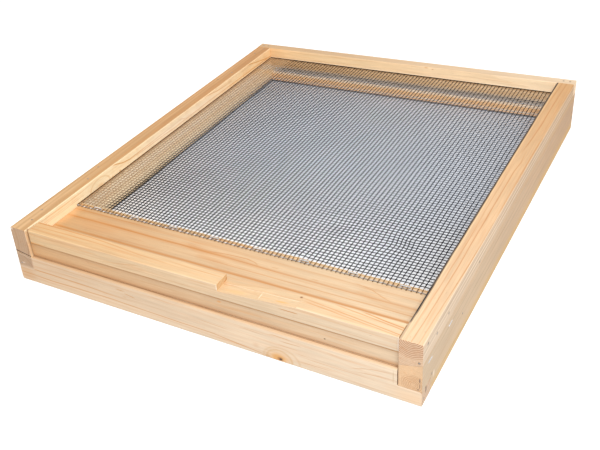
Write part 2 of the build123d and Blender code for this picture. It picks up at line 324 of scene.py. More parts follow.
            ("top", "E8B07A", 0.45, (-188, -195), (15, 32), 0.1),
            ("top", "B98350", 0.3, (-148, -199), (40, 16), 0.2),
            ("front", "D28A40", 0.6, (27, 42), (3, 1.5), 0.2),
            ("front", "523A26", 0.9, (125, 36), (1.1, 0.9), 0.3),
        ),
    },
    "left_upper_rail": {
        "grain": "y", "pith": (-250, 55), "lean": (0.14, 0.01), "ring": 3.4, "wander": 8, "seed": 21.3,
        "early": "F3D5A8", "late": "D28F42", "contrast": 0.15, "endContrast": 0.5,
        "along": ((0.98, 1.09, 1.22), (1.04, 0.94, 0.84)),
        "faces": {"end": (0.48, 0.38, 0.35), "top": (0.47, 0.35, 0.235)},
        "lines": {
            ("right", ""): (
                ((0.6, 1), (-232, 57.8, 0.55), (-200, 57.5, 0.55), (-165, 57.5, 0.45), (-150, 58.5, 0.3),
                 (-140, 59.5, 0)),
                ((0.6, 0.9), (-218, 54.4, 0.3), (-180, 54.3, 0.45), (-156, 54, 0)),
                ((0.6, 0.9), (-214, 52.4, 0.3), (-175, 52.3, 0.45), (-158, 52, 0)),
                ((0.9, 1.4), (-117, 61, 0), (-110, 60, 0.85), (-98, 56, 0.9), (-85, 53.6, 0.9), (-60, 54.5, 0.75),
                 (-40, 54.4, 0.6), (0, 55, 0.6), (18, 55.6, 0.75), (24, 53, 0.75), (28, 52, 0)),
                ((0.9, 1.4), (-88, 52.4, 0), (-60, 52.6, 0.7), (-20, 52, 0.75), (0, 51, 0.85), (40, 51.6, 0.75),
                 (90, 52, 0.75), (160, 51, 0.75), (239, 50, 0.75)),
                ((0.9, 1.4), (68, 61, 0), (78, 60, 0.75), (100, 57, 0.8), (120, 56, 0.6), (142, 55.6, 0)),
                ((0.9, 1.4), (173, 61, 0), (182, 60, 0.85), (200, 56, 0.9), (222, 52, 0.9), (233, 51.4, 0)),
            ),
            # Painted highlight along the inner face's top edge
            ("right", "FFF4E0"): (((0.6, 0.5), (-252, 61, 0.3), (240, 61, 0.2)),),
            # Painted light: a broad brighter band on the inner face
            ("right", "FFF2E0"): (((9, 9), (-90, 54, 0), (-20, 54, 0.35), (70, 54, 0.3), (150, 54, 0)),),
            # Painted light on the inner face below the screen, where it lies in shade
            ("right", "FFEED0"): (((9, 7), (-180, 38, 0), (-172, 38, 0.85), (0, 38, 1), (240, 38, 0.7)),),
            # Painted highlight along the inner edge of the top
            ("top", "F4D6AA"): (((0.5, 0.6), (-252, -187.9, 0.5), (240, -187.9, 0.3)),),
            ("top", "A0622C"): (
                ((1, 1.8), (-252, -204.8, 0), (-190, -203.2, 0.15), (-120, -204.2, 0.1), (-40, -203.4, 0.35),
                 (60, -204, 0.4), (150, -203.2, 0.15), (240, -203.8, 0.35)),
                ((1.4, 1.2), (-252, -201.5, 0), (-205, -200.4, 0.05), (-150, -198.8, 0.25), (-90, -200.2, 0.35),
                 (-20, -199.4, 0.2), (80, -200, 0.4), (170, -199.4, 0.3), (240, -200, 0.2)),
                ((1, 1.6), (-252, -196.6, 0), (-180, -195, 0.15), (-130, -195.8, 0.35), (-60, -195.2, 0.2),
                 (30, -195.8, 0.35), (120, -195.2, 0.3), (240, -195.6, 0.25)),
            ),
            ("top", "ECC496"): (
                ((3.6, 3.8), (-252, -201.6, 0.3), (-200, -200.8, 0.28), (-140, -201.6, 0.14), (20, -201.8, 0.1),
                 (140, -202, 0.2), (240, -202, 0.1)),
                ((3.4, 3.4), (-252, -195.4, 0.3), (-190, -196.4, 0.25), (-110, -196, 0.1), (0, -197.6, 0.15),
                 (240, -197.6, 0.1)),
            ),
            ("top", "B27C4A"): (
                ((2.4, 1), (-252, -190.6, 0.35), (-160, -190.6, 0.6), (-60, -190.6, 0.7), (240, -190.6, 0.6)),
            ),
            ("front", "3A2012"): (((1.6, 1.5), (-206.5, 34.6, 1), (-187.5, 31.1, 1)),),
        },
        "spots": (
            ("right", "DDA868", 0.45, (-138, 49.5), (9, 4), 0.1),
            ("right", "D89C58", 0.55, (-117, 49), (3, 1.6), 0.1),
            ("right", "D08E46", 0.65, (-104, 49.3), (3, 1.5), 0.1),
            # Painted highlight down the inner edge of the front end
            ("front", "F4D4B0", 0.4, (-187.9, 54), (0.8, 10), 0.4),
            ("top", "B08060", 0.1, (-225, -197), (60, 16), 0.2),
            # Painted shade on the inner face beside the entrance reducer's end
            ("right", "B08A62", 0.85, (-248.6, 46), (2.6, 26), 0.5),
            ("front", "EBDCCB", 0.6, (-205, 60), (2.4, 2.2), 0.2),
            # Painted shade, lighter, on the inner face nearest the front end
            ("right", "D2A67A", 0.7, (-251.6, 46), (2.2, 26), 0.5),
        ),
        "rings": (
            ("right", "DDAA6C", 0.45, (-138, 46.5), (17, 11.5), 0.12),
        ),
    },
    "left_lower_rail": {
        "grain": "y", "pith": (-240, -20), "lean": (0.01, 0.02), "ring": 3.8, "wander": 5, "seed": 27.7,
        "early": "E6C698", "late": "CC9858", "contrast": 0.3, "endContrast": 0.5,
        "along": ((1, 1, 1), (0.94, 0.9, 0.84)), "faces": {"end": (0.49, 0.45, 0.5)},
        "lines": {
            ("front", "C8AE96"): (((0.8, 0.6), (-206.5, 31.8, 0.8), (-187.5, 28.3, 0.8)),),
            ("front", "CDB092"): (((0.5, 4.5), (-206.5, 14.8, 0.9), (-187.5, 14.8, 0.9)),),
            # Painted light: the inner face under the screen is made brighter than its shade leaves it
            ("right", "FFEAC4"): (((26, 26), (-252, 24, 0.9), (0, 24, 1), (160, 24, 0.8), (252, 24, 0.6)),),
            ("right", "C08A52"): (((0.5, 6.5), (-252, 16, 0.3), (252, 16, 0.3)),),
            # Painted shade: a dark line in the tray groove's mouth along the inner face
            ("right", "1C1618"): (((1.4, 0.7), (-252, 15, 1), (252, 15, 1)),),
        },
        "spots": (
            # Painted highlight down the inner edge of the front end
            ("front", "D8B090", 0.5, (-188.1, 22), (0.8, 10), 0.4),
            ("front", "D8C4B0", 0.6, (-200.5, 21), (4, 1.2), 0.1),
        ),
    },
    "right_upper_rail": {
        "grain": "y", "pith": (197.5, 68), "lean": (0.006, 0.004), "ring": 1.35, "wander": 1.6, "seed": 33.9,
        "early": "CBAF86", "late": "A8703A", "contrast": 0.08, "endContrast": 0.3,
        "along": ((0.97, 0.95, 1.07), (0.79, 0.62, 0.47)),
        "faces": {"end": (1.08, 1.1, 1.18), "right": (1.06, 1.15, 1.28)},
        "lines": {
            ("top", ""): (
                ((0.7, 0.8), (-252, 197, 0.5), (-220, 198, 0.6), (-150, 198.5, 0.7), (-60, 198, 0.8),
                 (20, 198, 0.8), (40, 199.5, 0.7), (55, 198.5, 0.3), (70, 198.4, 0)),
                ((0.7, 0.8), (-252, 202.6, 0.35), (-200, 204, 0.55), (-160, 205.3, 0.7), (-100, 206, 0.5)),
                ((0.7, 0.8), (-245, 192.4, 0.2), (-180, 194, 0.45), (-100, 194.5, 0.55), (-60, 193.5, 0.4),
                 (20, 193, 0.35), (42, 192, 0)),
                ((0.8, 0.9), (56, 194.2, 0), (80, 196, 0.65), (130, 197.5, 0.85), (180, 197.5, 0.85),
                 (240, 198.5, 0.65)),
                ((0.8, 0.9), (140, 191.4, 0), (200, 192.5, 0.65), (245, 193.5, 0.75)),
                ((0.8, 0.9), (-70, 205.4, 0), (-50, 205.4, 0.5), (0, 205, 0.45), (80, 205.4, 0.65),
                 (110, 206, 0.3)),
            ),
            # Painted highlight along the inner edge of the top
            ("top", "FFDCA4"): (((0.5, 0.7), (-250, 190, 0.2), (-100, 190, 0.3), (240, 190, 0.3)),),
            # Painted shadow: a dark line along the inner edge of the top, beside the landing board and the screen
            ("top", "0E0A0C"): (
                ((2, 1.8), (-234, 188.3, 0), (-230, 188.3, 0.9), (-160, 188.3, 1), (240, 188.3, 1)),
                ((2.6, 2.1), (-228, 188.4, 0.3), (-218, 188.4, 1), (-180, 188.4, 1), (-150, 188.4, 0)),
            ),
            ("right", "C08A50"): (((0.5, 0.8), (-252, 40.9, 0.6), (0, 40.9, 0.65), (252, 40.9, 0.75)),),
            ("right", "94795C"): (
                ((0.6, 1), (-240, 57, 0), (-200, 56.6, 0.75), (-120, 56, 0.2), (-60, 55.8, 0.7), (0, 56.4, 0.1),
                 (60, 56.8, 0.6), (150, 56.2, 0.7), (200, 56, 0.15), (252, 56, 0.5)),
                ((0.6, 1), (-252, 52, 0.35), (-180, 51.8, 0.1), (-120, 51.6, 0.7), (-50, 52, 0.15), (0, 52.2, 0.7),
                 (80, 51.6, 0.2), (150, 51, 0.7), (252, 51, 0.2)),
                ((0.5, 0.9), (-200, 47, 0), (-150, 46.8, 0.6), (-100, 46.6, 0.7), (-30, 47, 0.1), (40, 47.4, 0.65),
                 (130, 46.8, 0.15), (200, 46.5, 0.6), (252, 46.4, 0.5)),
            ),
            ("right", "B88A58"): (
                ((0.5, 0.9), (-150, 43.6, 0), (-60, 43.9, 0.5), (120, 43.2, 0.5), (252, 43.6, 0.4)),
            ),
            # Painted highlight along the top edge of the outer face
            ("right", "FFE9CC"): (((0.7, 0.6), (-252, 60.6, 0.3), (252, 60.6, 0.2)),),
            ("right", "F2E2CE"): (
                ((1, 1.4), (-252, 54.2, 0.2), (-140, 54, 0.5), (30, 54.6, 0.45), (252, 53.8, 0.4)),
                ((0.9, 1.2), (-252, 49.4, 0.3), (-60, 49, 0.5), (130, 49.8, 0.5), (252, 49, 0.4)),
            ),
        },
        "spots": (
            # Grey bruises round the nail heads, darkened also as painted shade of the dimples there
            ("right", "7C7068", 0.65, (-242, 55), (3.2, 1.8), 0.2),
            ("right", "7C7068", 0.6, (-221.8, 49.4), (2.8, 1.9), 0.2),
            ("right", "7C7068", 0.5, (-194.6, 49), (2.6, 1.6), 0.2),
            ("right", "7C7068", 0.5, (-114, 45.4), (2.6, 1.6), 0.2),
        ),
        "arcs": (
            ("front", "94582C", 0.75, (197.5, 64.5), 1.6, (2, 20)),
            ("front", "94582C", 0.26, (197.5, 64.5), 1.6, (17, 34)),
        ),
    },
    "right_lower_rail": {
        "grain": "y", "pith": (197, 20), "lean": (0.006, 0.008), "ring": 1.2, "wander": 2, "seed": 41.3,
        "early": "C8AC86", "late": "A87A48", "contrast": 0.12, "endContrast": 0.25,
        "along": ((0.97, 0.95, 0.97), (0.81, 0.64, 0.51)),
        "faces": {"end": (1.19, 1.13, 1.13), "right": (0.99, 1.05, 1.15)},
        "lines": {
            ("right", "CBA052"): (((5, 10.5), (-252, 2.5, 0.48), (252, 3.5, 0.6)),),
            ("right", "94795C"): (
                ((0.6, 1.2), (-240, 34, 0), (-180, 33.6, 0.7), (-110, 33, 0.15), (-40, 32.6, 0.7), (40, 33.2, 0.2),
                 (110, 33.6, 0.65), (190, 33.2, 0.15), (252, 33, 0.6)),
                ((0.6, 1.2), (-210, 26, 0), (-120, 25.4, 0.7), (-50, 25.8, 0.15), (20, 26.2, 0.65),
                 (120, 25.6, 0.2), (190, 25.2, 0.65), (252, 25, 0.4)),
                ((0.6, 1.2), (-190, 19, 0), (-80, 18.4, 0.65), (0, 19, 0.15), (90, 19.4, 0.65), (170, 18.6, 0.2),
                 (252, 18, 0.6)),
            ),
            ("right", "A8803E"): (
                ((1, 1.6), (-222, 7.6, 0), (-200, 6.8, 0.55), (-180, 6.2, 0.55), (-150, 3.2, 0.45), (-118, 1, 0)),
            ),
        },
        "spots": (
            # A bruise round a nail head, darkened also as painted shade of its dimple
            ("right", "9A7448", 0.7, (-231.5, 16.5), (3.2, 2.2), 0.2),
            ("right", "F0E0CC", 0.45, (-226.5, 13), (3, 5), 0.2),
            ("front", "5C5650", 0.85, (204.5, 26), (0.8, 3.2), 0.3),
            ("front", "5C5650", 0.7, (204.7, 20.5), (0.6, 3.4), 0.3),
            ("front", "6A5C50", 0.8, (203.4, 16.6), (1, 1.2), 0.3),
        ),
        "arcs": (
            ("front", "94582C", 0.42, (199.5, 20), 1.45, (0, 11)),
        ),
    },
    "upper_back_rail": {
        "grain": "x", "pith": (303, 44), "lean": (0.03, 0.006), "ring": 3.8, "wander": 6, "seed": 47.1,
        "early": "E2C299", "late": "BE8849", "contrast": 0.15, "endContrast": 0.5,
        "along": ((1, 0.92, 0.8), (1.16, 1.28, 1.46)),
        "faces": {"end": (0.9, 0.86, 0.84), "top": (0.65, 0.63, 0.63)},
        "lines": {
            ("front", ""): (
                ((0.6, 1), (-165, 58.9, 0), (-150, 58.6, 0.45), (-120, 58, 0.35), (-60, 58.5, 0.35),
                 (-28, 59.2, 0)),
                ((0.6, 1), (-132, 49.6, 0), (-120, 50.5, 0.35), (-90, 51, 0.35), (-60, 52.5, 0.35), (-44, 53.8, 0)),
                ((0.6, 1.2), (-187, 48.6, 0.3), (-100, 48.4, 0.3), (0, 47.8, 0.3), (60, 47.6, 0)),
                ((0.6, 1), (16, 48.6, 0), (40, 48.2, 0.4), (70, 49, 0.4), (104, 49.6, 0)),
                ((0.6, 1), (56, 54, 0), (80, 54.6, 0.3), (130, 54, 0.3), (165, 55.2, 0)),
            ),
            # Painted highlight along the inner face just above the screen
            ("front", "FFF0D8"): (((0.8, 0.8), (-187, 48.9, 0.5), (187, 48.9, 0.5)),),
            # Painted light on the inner face's left part
            ("front", "FFE2B0"): (
                ((9, 9), (-187, 55, 0.05), (-120, 55, 0.2), (-70, 55, 0.25), (-20, 55, 0.1), (20, 55, 0)),
            ),
            # Painted shade on the inner face below the screen
            ("front", "8A6844"): (
                ((10, 9), (-187, 39.5, 0.55), (-60, 39.5, 0.4), (60, 39.5, 0.3), (187, 39.5, 0.15)),
            ),
            # Painted shade: a dark line where the screen meets the inner face
            ("front", "1E1A1C"): (((0.7, 0.6), (-187, 46.6, 0.9), (187, 46.6, 0.9)),),
        },
        "spots": (
            ("front", "C88848", 0.75, (32.6, 60), (3.5, 0.9), 0.2),
            ("front", "C88848", 0.7, (40.7, 58.8), (2, 0.9), 0.2),
        ),
    },
    "lower_back_rail": {
        "grain": "x", "pith": (213, 60), "lean": (0.014, 0.012), "ring": 3.6, "wander": 4, "seed": 53.5,
        "early": "E0C096", "late": "BE8849", "contrast": 0.3, "endContrast": 0.6,
        "along": ((1, 0.98, 0.94), (1, 1, 1)), "faces": {"end": (0.86, 0.8, 0.74)},
        "lines": {
            # Painted light: the bar under the screen is made brighter than its shade leaves it
            ("front", "FFCA90"): (((40, 40), (-187, 20.6, 1), (187, 20.6, 1)),),
            # Painted highlight along the top edge of the front face
            ("front", "FFF8EA"): (((1.3, 1.2), (-187, 26, 1), (187, 26, 1)),),
            # Painted highlight along the front edge of the top
            ("top", "FFF8EA"): (((0.8, 1.8), (-187, 240.2, 0.9), (187, 240.2, 0.9)),),
            # Painted light: a bright line low on the front face
            ("front", "FFF6E6"): (((1.5, 1.4), (-187, 17.8, 0.5), (0, 17.8, 0.8), (60, 17.8, 1), (187, 17.8, 1)),),
            # Painted shade: a darker line along the bottom of the front face, over the gap above the tray
            ("front", "A87248"): (((0.9, 0.9), (-187, 15.2, 0.7), (187, 15.2, 0.7)),),
        },
    },
}
# The way a named face looks: axis and sign
faceSides = {"top": (2, 1), "front": (1, -1), "right": (0, 1)}
# Half the floor along each axis, and the span in which a streak's place across a face is kept
boardEnd = {"x": 206.5, "y": 252.5}
lineSpan = 600
# Unevenness of the wood: reach along and across the grain, then the noise's detail and roughness
unevenness = {
    "wander": (150, 70, 1.0, 0.5), "rise": (120, 60, 1.0, 0.5), "ripple": (40, 7, 2.0, 0.5),
    "fibres": (30, 1.25, 3.0, 0.6), "bands": (70, 3.2, 2.0, 0.6), "blotch": (110, 20, 2.0, 0.5),
    "ducts": (5, 1 / 1.2, 1.0, 0.5),
}
# How much of it shows in the rings, the tone, the marks and the surface
wood = {
    "ringGroup": 3, "ringRipple": 0.6, "ringWidths": 2.0, "ringStep": 0.73, "ringRow": 4.0,
    "faintest": 0.35, "ringWeights": (0.30, 0.70), "lateRise": (0.25, 0.88), "lateFall": (0.90, 1.0),
    "endTurn": (0.6, 0.9), "faceTurn": (0.45, 0.75),
    "ductEdge": (0.68, 0.80), "bandEdge": (0.50, 0.78), "bandLate": 0.30,
    "blotchTone": 0.28, "fibreTone": 0.38, "bandTone": 0.20, "ductTone": 0.16,
    "rippleWobble": 1.1, "fibreWobble": 0.7, "spotWobble": 0.4, "lineBase": 0.75, "lineFibres": 0.5,
    "arcWander": 2, "arcInner": 2, "arcOuter": 3, "arcPeak": (0.65, 0.15, 1.0),
    "lateHeight": 0.5, "fibreHeight": 0.6, "ductHeight": 0.8, "bump": 0.35, "bumpDepth": 0.12 * mm,
    "rough": 0.52, "fibreRough": 0.16, "lateRough": 0.06, "specular": 0.35,
}


# How strongly a streak shows: its place and strength along the face come from a ramp's red and green
def streak(flow, share, across, line, reach):
    (below, above), *places = line
    stops = [
        ((at + reach) / (2 * reach), (side / lineSpan + 0.5, strength, 0.0, 1.0))
        for at, side, strength in places
    ]
    place, strength = flow.node("ValToRGB", {"stops": stops}, {"Fac": share}).split()[:2]
    away = across - (place - 0.5) * lineSpan
    return away.peak(0.0, -below, above) * strength


def makePine(name, board):
    material, flow, shader = newMaterial(name + "_pine")
    x, y, z = millimetres(flow).split()
    run, across = (x, y) if board["grain"] == "x" else (y, x)
    end = boardEnd[board["grain"]]
    seed = board["seed"]

    def uneven(kind):
        length, width, detail, rough = unevenness[kind]
        return flow.noise(flow.join(run / length + seed, across / width, z / width), detail, rough)

    def distance(first, second):
        return flow.node("VectorMath", {"operation": "LENGTH"}, {0: flow.join(first, second, 0.0)}, "Value")

    # Slow wander of the pith, then rings of uneven width
    slow = uneven("wander")
    length, width, detail, rough = unevenness["rise"]
    other = flow.noise(flow.join(run / length, across / width + seed, z / width), detail, rough)
    aside = across - board["pith"][0] - run * board["lean"][0] + (slow - 0.5) * board["wander"]
    above = z - board["pith"][1] - run * board["lean"][1] + (other - 0.5) * board["wander"]
    radius = (aside * aside + above * above) ** 0.5
    ripple = uneven("ripple")
    widths = flow.noise(flow.join(radius / (board["ring"] * wood["ringGroup"]), seed, 0.0), 1.0)
    turns = radius / board["ring"] + (ripple - 0.5) * wood["ringRipple"] + (widths - 0.5) * wood["ringWidths"]
    ringShare = flow.math("FRACT", turns)
    ringNumber = flow.math("FLOOR", turns)
    chance = flow.noise(flow.join(ringNumber * wood["ringStep"], seed, wood["ringRow"]), 0.0)
    weight = wood["faintest"] + (1 - wood["faintest"]) * chance.ramp(*wood["ringWeights"])
    late = ringShare.ramp(*wood["lateRise"]) * (1 - ringShare.ramp(*wood["lateFall"])) * weight

    # Which way each face looks, and the two ways along it
    normal = flow.node("NewGeometry", output="Normal").split()
    facing = {side: (normal[axis] * sign).ramp(*wood["faceTurn"]) for side, (axis, sign) in faceSides.items()}
    facing["end"] = abs(normal["xy".index(board["grain"])]).ramp(*wood["endTurn"])
    ways = {"top": (run, across, end), "front": (x, z, boardEnd["x"]), "right": (y, z, boardEnd["y"])}

    # Streaks along the grain, from fine fibres to broad bands, and resin ducts
    fibres, bands, blotch = uneven("fibres"), uneven("bands"), uneven("blotch")
    ducts = uneven("ducts").ramp(*wood["ductEdge"])
    contrast = board["contrast"] + facing["end"] * (board["endContrast"] - board["contrast"])
    lateShare = (late * contrast + bands.ramp(*wood["bandEdge"]) * wood["bandLate"]).least(1.0)
    colour = flow.blend(lateShare, linear(board["early"]), linear(board["late"]))
    tone = 1 + (blotch - 0.5) * wood["blotchTone"] + (fibres - 0.5) * wood["fibreTone"]
    colour = colour.scaled(tone + (bands - 0.5) * wood["bandTone"] - ducts * wood["ductTone"])

    # Colour changes along the board and from face to face: tone together with painted light falloff, and painted
    # light and shade on single faces
    lowTint, highTint = ((*tint, 1.0) for tint in board["along"])
    colour = colour.times(flow.blend((run + end) / (2 * end), lowTint, highTint))
    for side, tint in board["faces"].items():
        colour = flow.blend(facing[side], colour, colour.times(tint))

    # Marks of this board: streaks of one face and colour together, then spots, rings and arcs; some are painted
    # highlights, painted light and painted shade, noted in the boards' tables
    wobble = (ripple - 0.5) * wood["rippleWobble"] + (fibres - 0.5) * wood["fibreWobble"]
    for (side, code), lines in board["lines"].items():
        along, crossways, reach = ways[side]
        share = (along + reach) / (2 * reach)
        crossways = crossways + wobble
        total = streak(flow, share, crossways, lines[0], reach)
        for line in lines[1:]:
            total = total.most(streak(flow, share, crossways, line, reach))
        strength = total * facing[side] * (wood["lineBase"] + fibres * wood["lineFibres"])
        colour = flow.blend(strength, colour, linear(code or board["late"]))
    for kind in ("spots", "rings"):
        for side, code, strength, middle, radii, inner in board.get(kind, ()):
            along, crossways = ways[side][:2]
            sideways = crossways - middle[1] + wobble * wood["spotWobble"]
            away = distance((along - middle[0]) / radii[0], sideways / radii[1])
            mark = 1 - away.ramp(inner, 1.0) if kind == "spots" else away.peak(1.0, 1 - inner, 1 + inner)
            colour = flow.blend(mark * strength * facing[side], colour, linear(code))
    for side, code, strength, middle, period, (inside, outside) in board.get("arcs", ()):
        along, crossways = ways[side][:2]
        away = distance(along - middle[0], crossways - middle[1])
        away = away + (slow - 0.5) * wood["arcWander"] + (ripple - 0.5)
        within = away.ramp(inside, inside + wood["arcInner"]) * (1 - away.ramp(outside - wood["arcOuter"], outside))
        mark = flow.math("FRACT", away / period).peak(*wood["arcPeak"]) * within
        colour = flow.blend(mark * strength * facing[side], colour, linear(code))

    height = late * wood["lateHeight"] + fibres * wood["fibreHeight"] - ducts * wood["ductHeight"]
    feed(flow, shader, {
        "Base Color": colour,
        "Roughness": wood["rough"] + fibres * wood["fibreRough"] - late * wood["lateRough"],
        "Specular IOR Level": wood["specular"],
        "Normal": bumped(flow, height, wood["bump"], wood["bumpDepth"]),
    })
    return material


# Every board stays the solid it is: its edges are softened and it gets its own wood
edgeSoftness = {"width": 0.35 * mm, "segments": 2, "angle": math.radians(30), "weld": 0.001 * mm}


def soften(node, width):
    weld = node.modifiers.new("weld", "WELD")
    weld.merge_threshold = edgeSoftness["weld"]
    bevel = node.modifiers.new("soft edges", "BEVEL")
    bevel.width = width
    bevel.segments = edgeSoftness["segments"]
    bevel.limit_method = "ANGLE"
    bevel.angle_limit = edgeSoftness["angle"]


def dress(node, material):
    node.data.materials.clear()
    node.data.materials.append(material)


for name, board in pine.items():
    dress(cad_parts[name], makePine(name, board))
    soften(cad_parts[name], edgeSoftness["width"])
print("pine boards:", len(pine))


# Metals: zinc on the wire cloth, whose dark colours are painted shade, the warps painted darker and the wefts
# lighter; a pale strip in the back slot, steel nails and pale staples
# Pale zones are painted reflections and light on the wires, by place: axis, places in millimetres where they start
# and are full, strength, colour
metals = {
    # Warps: zinc painted near black as painted shade, with painted reflections of the wood over the left wall and the
    # front edge
    "warp_zinc_painted_shade_and_reflection": {
        "dark": "060405", "light": "121011", "metallic": 0.05, "rough": 0.50, "grain": 3.0, "specular": 0.08,
        "pale": ((0, (-150, -164), 0.66, "BC9C78"), (1, (-168.5, -170.0), 0.60, "8A6A48")),
    },
    # Wefts: the same zinc painted lighter as painted light, with painted reflections paler towards the back and over
    # the walls and the front edge
    "weft_zinc_painted_light_and_reflection": {
        "dark": "0C0C10", "light": "2A3040", "metallic": 0.20, "rough": 0.42, "grain": 3.0, "specular": 0.15,
        "pale": (
            (1, (-110, 10), 0.52, "8A92A0"), (0, (-150, -164), 0.66, "CCAA8A"), (1, (170, 196), 0.70, "C89C68"),
            (1, (198, 204), 0.75, "A09890"), (1, (216, 220), 0.70, "C2945C"),
            (1, (-168.5, -170.0), 0.64, "F4D09C"),
        ),
        # The wire at the front edge glints where it crosses over, less towards the right
        "glints": {
            "edge": (-173.2, -173.8), "spacing": 8.466, "stir": 0.1, "span": (0.74, 0.80),
            "colour": "8C8886", "glint": "DDE2EA", "fading": (-60, 130), "loss": 0.65,
        },
    },
    # A pale strip that stands in for the shade in the back slot, painted near white against its own shade under the
    # rail
    "slot_shade_strip_zinc": {
        "dark": "A4A6AC", "light": "FFFFFF", "metallic": 0.05, "rough": 0.45, "grain": 2.5, "specular": 0.35,
    },
    "bright_steel": {
        "dark": "7E7C78", "light": "C4C4C2", "metallic": 0.90, "rough": 0.34, "grain": 1.2, "specular": 0.50,
    },
    "pale_crown_zinc": {
        "dark": "B8BCC2", "light": "F0F4F8", "metallic": 0.30, "rough": 0.30, "grain": 1.2, "specular": 0.50,
    },
}
spangle = {
    "patchNoise": (3.0, 0.6), "patches": (0.40, 0.72), "dullRough": 0.22,
    "broadNoise": (1.0, 0.5), "broadSize": 45, "broad": (0.3, 0.7), "broadShare": 0.6,
}


def makeMetal(name, metal):
    material, flow, shader = newMaterial(name)
    place = millimetres(flow)
    patches = flow.noise(place.scaled(1 / metal["grain"]), *spangle["patchNoise"])
    broad = flow.noise(place.scaled(1 / spangle["broadSize"]), *spangle["broadNoise"]).ramp(*spangle["broad"])
    shine = patches.ramp(*spangle["patches"]) * (1 - spangle["broadShare"] + spangle["broadShare"] * broad)
    colour = flow.blend(shine, linear(metal["dark"]), linear(metal["light"]))
    axes = place.split()
    for axis, span, strength, code in metal.get("pale", ()):
        colour = flow.blend(axes[axis].ramp(*span) * strength, colour, linear(code))
    if "glints" in metal:
        glints = metal["glints"]
        edge = axes[1].ramp(*glints["edge"])
        turns = flow.math("FRACT", axes[0] / glints["spacing"] + patches * glints["stir"])
        glint = turns.ramp(*glints["span"]) * (1 - axes[0].ramp(*glints["fading"]) * glints["loss"])
        colour = flow.blend(edge, colour, flow.blend(glint, linear(glints["colour"]), linear(glints["glint"])))
    feed(flow, shader, {
        "Base Color": colour,
        "Metallic": metal["metallic"],
        "Roughness": metal["rough"] + spangle["dullRough"] * (1 - shine),
        "Specular IOR Level": metal["specular"],
    })
    return material


metalFinish = {name: makeMetal(name, metal) for name, metal in metals.items()}
print("metals:", len(metalFinish))


def newPiece(name, mesh, body, material, stoodFor=()):
    piece = bpy.data.objects.new(name, mesh)
    bpy.context.scene.collection.objects.link(piece)
    mesh.materials.append(material)
    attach(piece, body)
    if stoodFor:
        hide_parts(*stoodFor)


# Woven wire cloth: each wire dips under and rises over the ones it crosses
cloth = {
    "pitch": 4.233 * mm, "radius": 0.32 * mm, "warpRadius": 0.46 * mm, "weftRadius": 0.38 * mm, "ringSides": 1,
    "warpCrimp": 0.10 * mm, "weftCrimp": 0.18 * mm, "sway": 0.22 * mm, "swayShare": (0.2, 1), "seed": 14,
    "endTrim": 0.5 * mm, "heldEdge": 8 * mm, "ripple": 0.35 * mm, "rippleWaves": ((61, 1.3), (47, 0.4)),
    # Knocks where the weave is pushed aside: middle, push and reach, in millimetres
    "knocks": (
        ((128.9, -121.5), (2.3, 1.2), 12), ((62.2, -166.5), (-1.3, 1.2), 9), ((-64.2, -73.1), (0.9, -0.7), 16),
        ((-116.0, -45.8), (-1.0, 0.5), 18), ((146.2, -105.3), (-1.5, -1.3), 9), ((-82.7, 43.9), (0.8, 0.6), 22),
        ((74.2, -108.2), (1.2, -1.0), 10), ((27.4, 106.6), (-0.8, 0.5), 25), ((-152.7, 139.6), (0.7, 0.7), 20),
    ),
}


def clothPush(x, y):
    push = Vector((0, 0))
    for middle, aside, reach in cloth["knocks"]:
        gap = (Vector((x, y)) - Vector(middle) * mm).length / (reach * mm)
        push += Vector(aside) * mm * math.exp(-gap * gap)
    (xTurns, xStart), (yTurns, yStart) = cloth["rippleWaves"]
    wave = math.sin(x * xTurns + xStart) * math.sin(y * yTurns + yStart)
    return Vector((push.x, push.y, cloth["ripple"] * wave))


def evenPlaces(low, high):
    count = round((high - low) / cloth["pitch"])
    middle = (low + high) / 2
    return [middle + (step - count / 2) * cloth["pitch"] for step in range(count + 1)]


def layWires(name, runs, radius, material, stoodFor):
    curve = bpy.data.curves.new(name + "_line", "CURVE")
    curve.dimensions = "3D"
    curve.bevel_depth = radius
    curve.bevel_resolution = cloth["ringSides"]
    curve.use_fill_caps = True
    for run in runs:
        spline = curve.splines.new("POLY")
        spline.points.add(len(run) - 1)
        for point, place in zip(spline.points, run):
            point.co = (*place, 1.0)
    line = bpy.data.objects.new(name + "_line", curve)
    mesh = bpy.data.meshes.new_from_object(line)
    mesh.name = name
    bpy.data.objects.remove(line)
    for face in mesh.polygons:
        face.use_smooth = True
    newPiece(name, mesh, "frame", material, [stoodFor])


